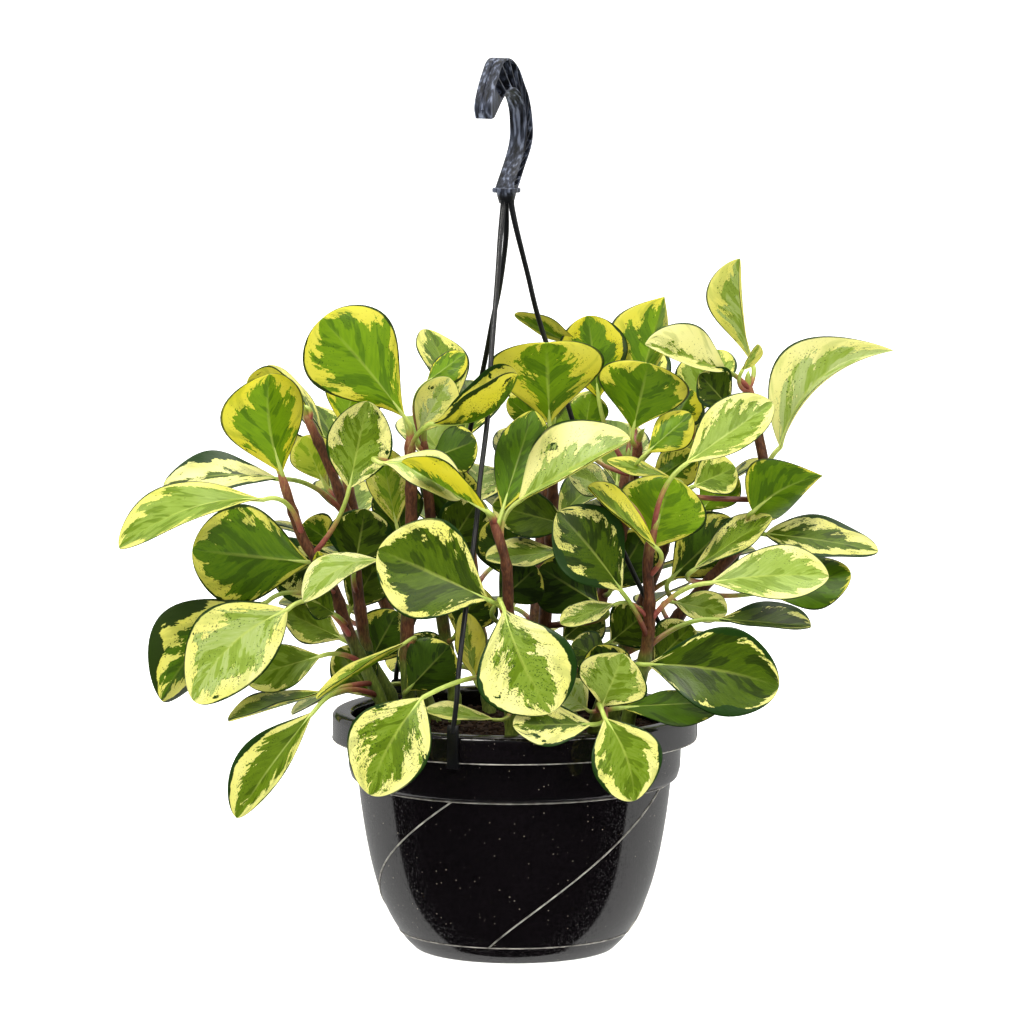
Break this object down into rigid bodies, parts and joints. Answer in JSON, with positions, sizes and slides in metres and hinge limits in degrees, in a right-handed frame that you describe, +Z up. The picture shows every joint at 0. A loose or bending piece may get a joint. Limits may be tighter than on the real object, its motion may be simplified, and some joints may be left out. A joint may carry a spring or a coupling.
{
  "type": "potted plant in hanging pot",
  "caption": "Bushy variegated plant with thick cream and green leaves in a black pot, hung by a moulded hook on thin strands.",
  "frame": {"origin": "middle of the pot's flat base, underneath", "axes": "+Z straight up along the pot's axis towards the hook, -Y towards the side that the picture shows, +X to its right"},
  "size_m": [0.4836, 0.3169, 0.562],
  "materials": {
    "pot_plastic": "gloss black, fine moulded texture",
    "hanger_plastic": "dark slate moulded plastic",
    "potting_soil": "dark crumbly potting soil",
    "leafy_stem": "thick glossy leaves, cream, yellow and green, on reddish stems"
  },
  "bodies": {
    "root": {"pot": "pot_plastic", "soil": "potting_soil", "hanger_hook": "hanger_plastic", "strand_front": "hanger_plastic", "strand_right": "hanger_plastic", "strand_back_left": "hanger_plastic", "stem_left": "leafy_stem", "stem_left_rear": "leafy_stem", "stem_left_centre": "leafy_stem", "stem_front": "leafy_stem", "stem_right": "leafy_stem", "stem_far_right": "leafy_stem", "stem_low_front": "leafy_stem", "stem_upper_centre": "leafy_stem", "stem_upper_right": "leafy_stem", "stem_centre_rear": "leafy_stem", "stem_back_1": "leafy_stem", "stem_back_2": "leafy_stem", "stem_back_3": "leafy_stem", "stem_back_4": "leafy_stem", "stem_back_5": "leafy_stem"}
  },
  "joints": []
}
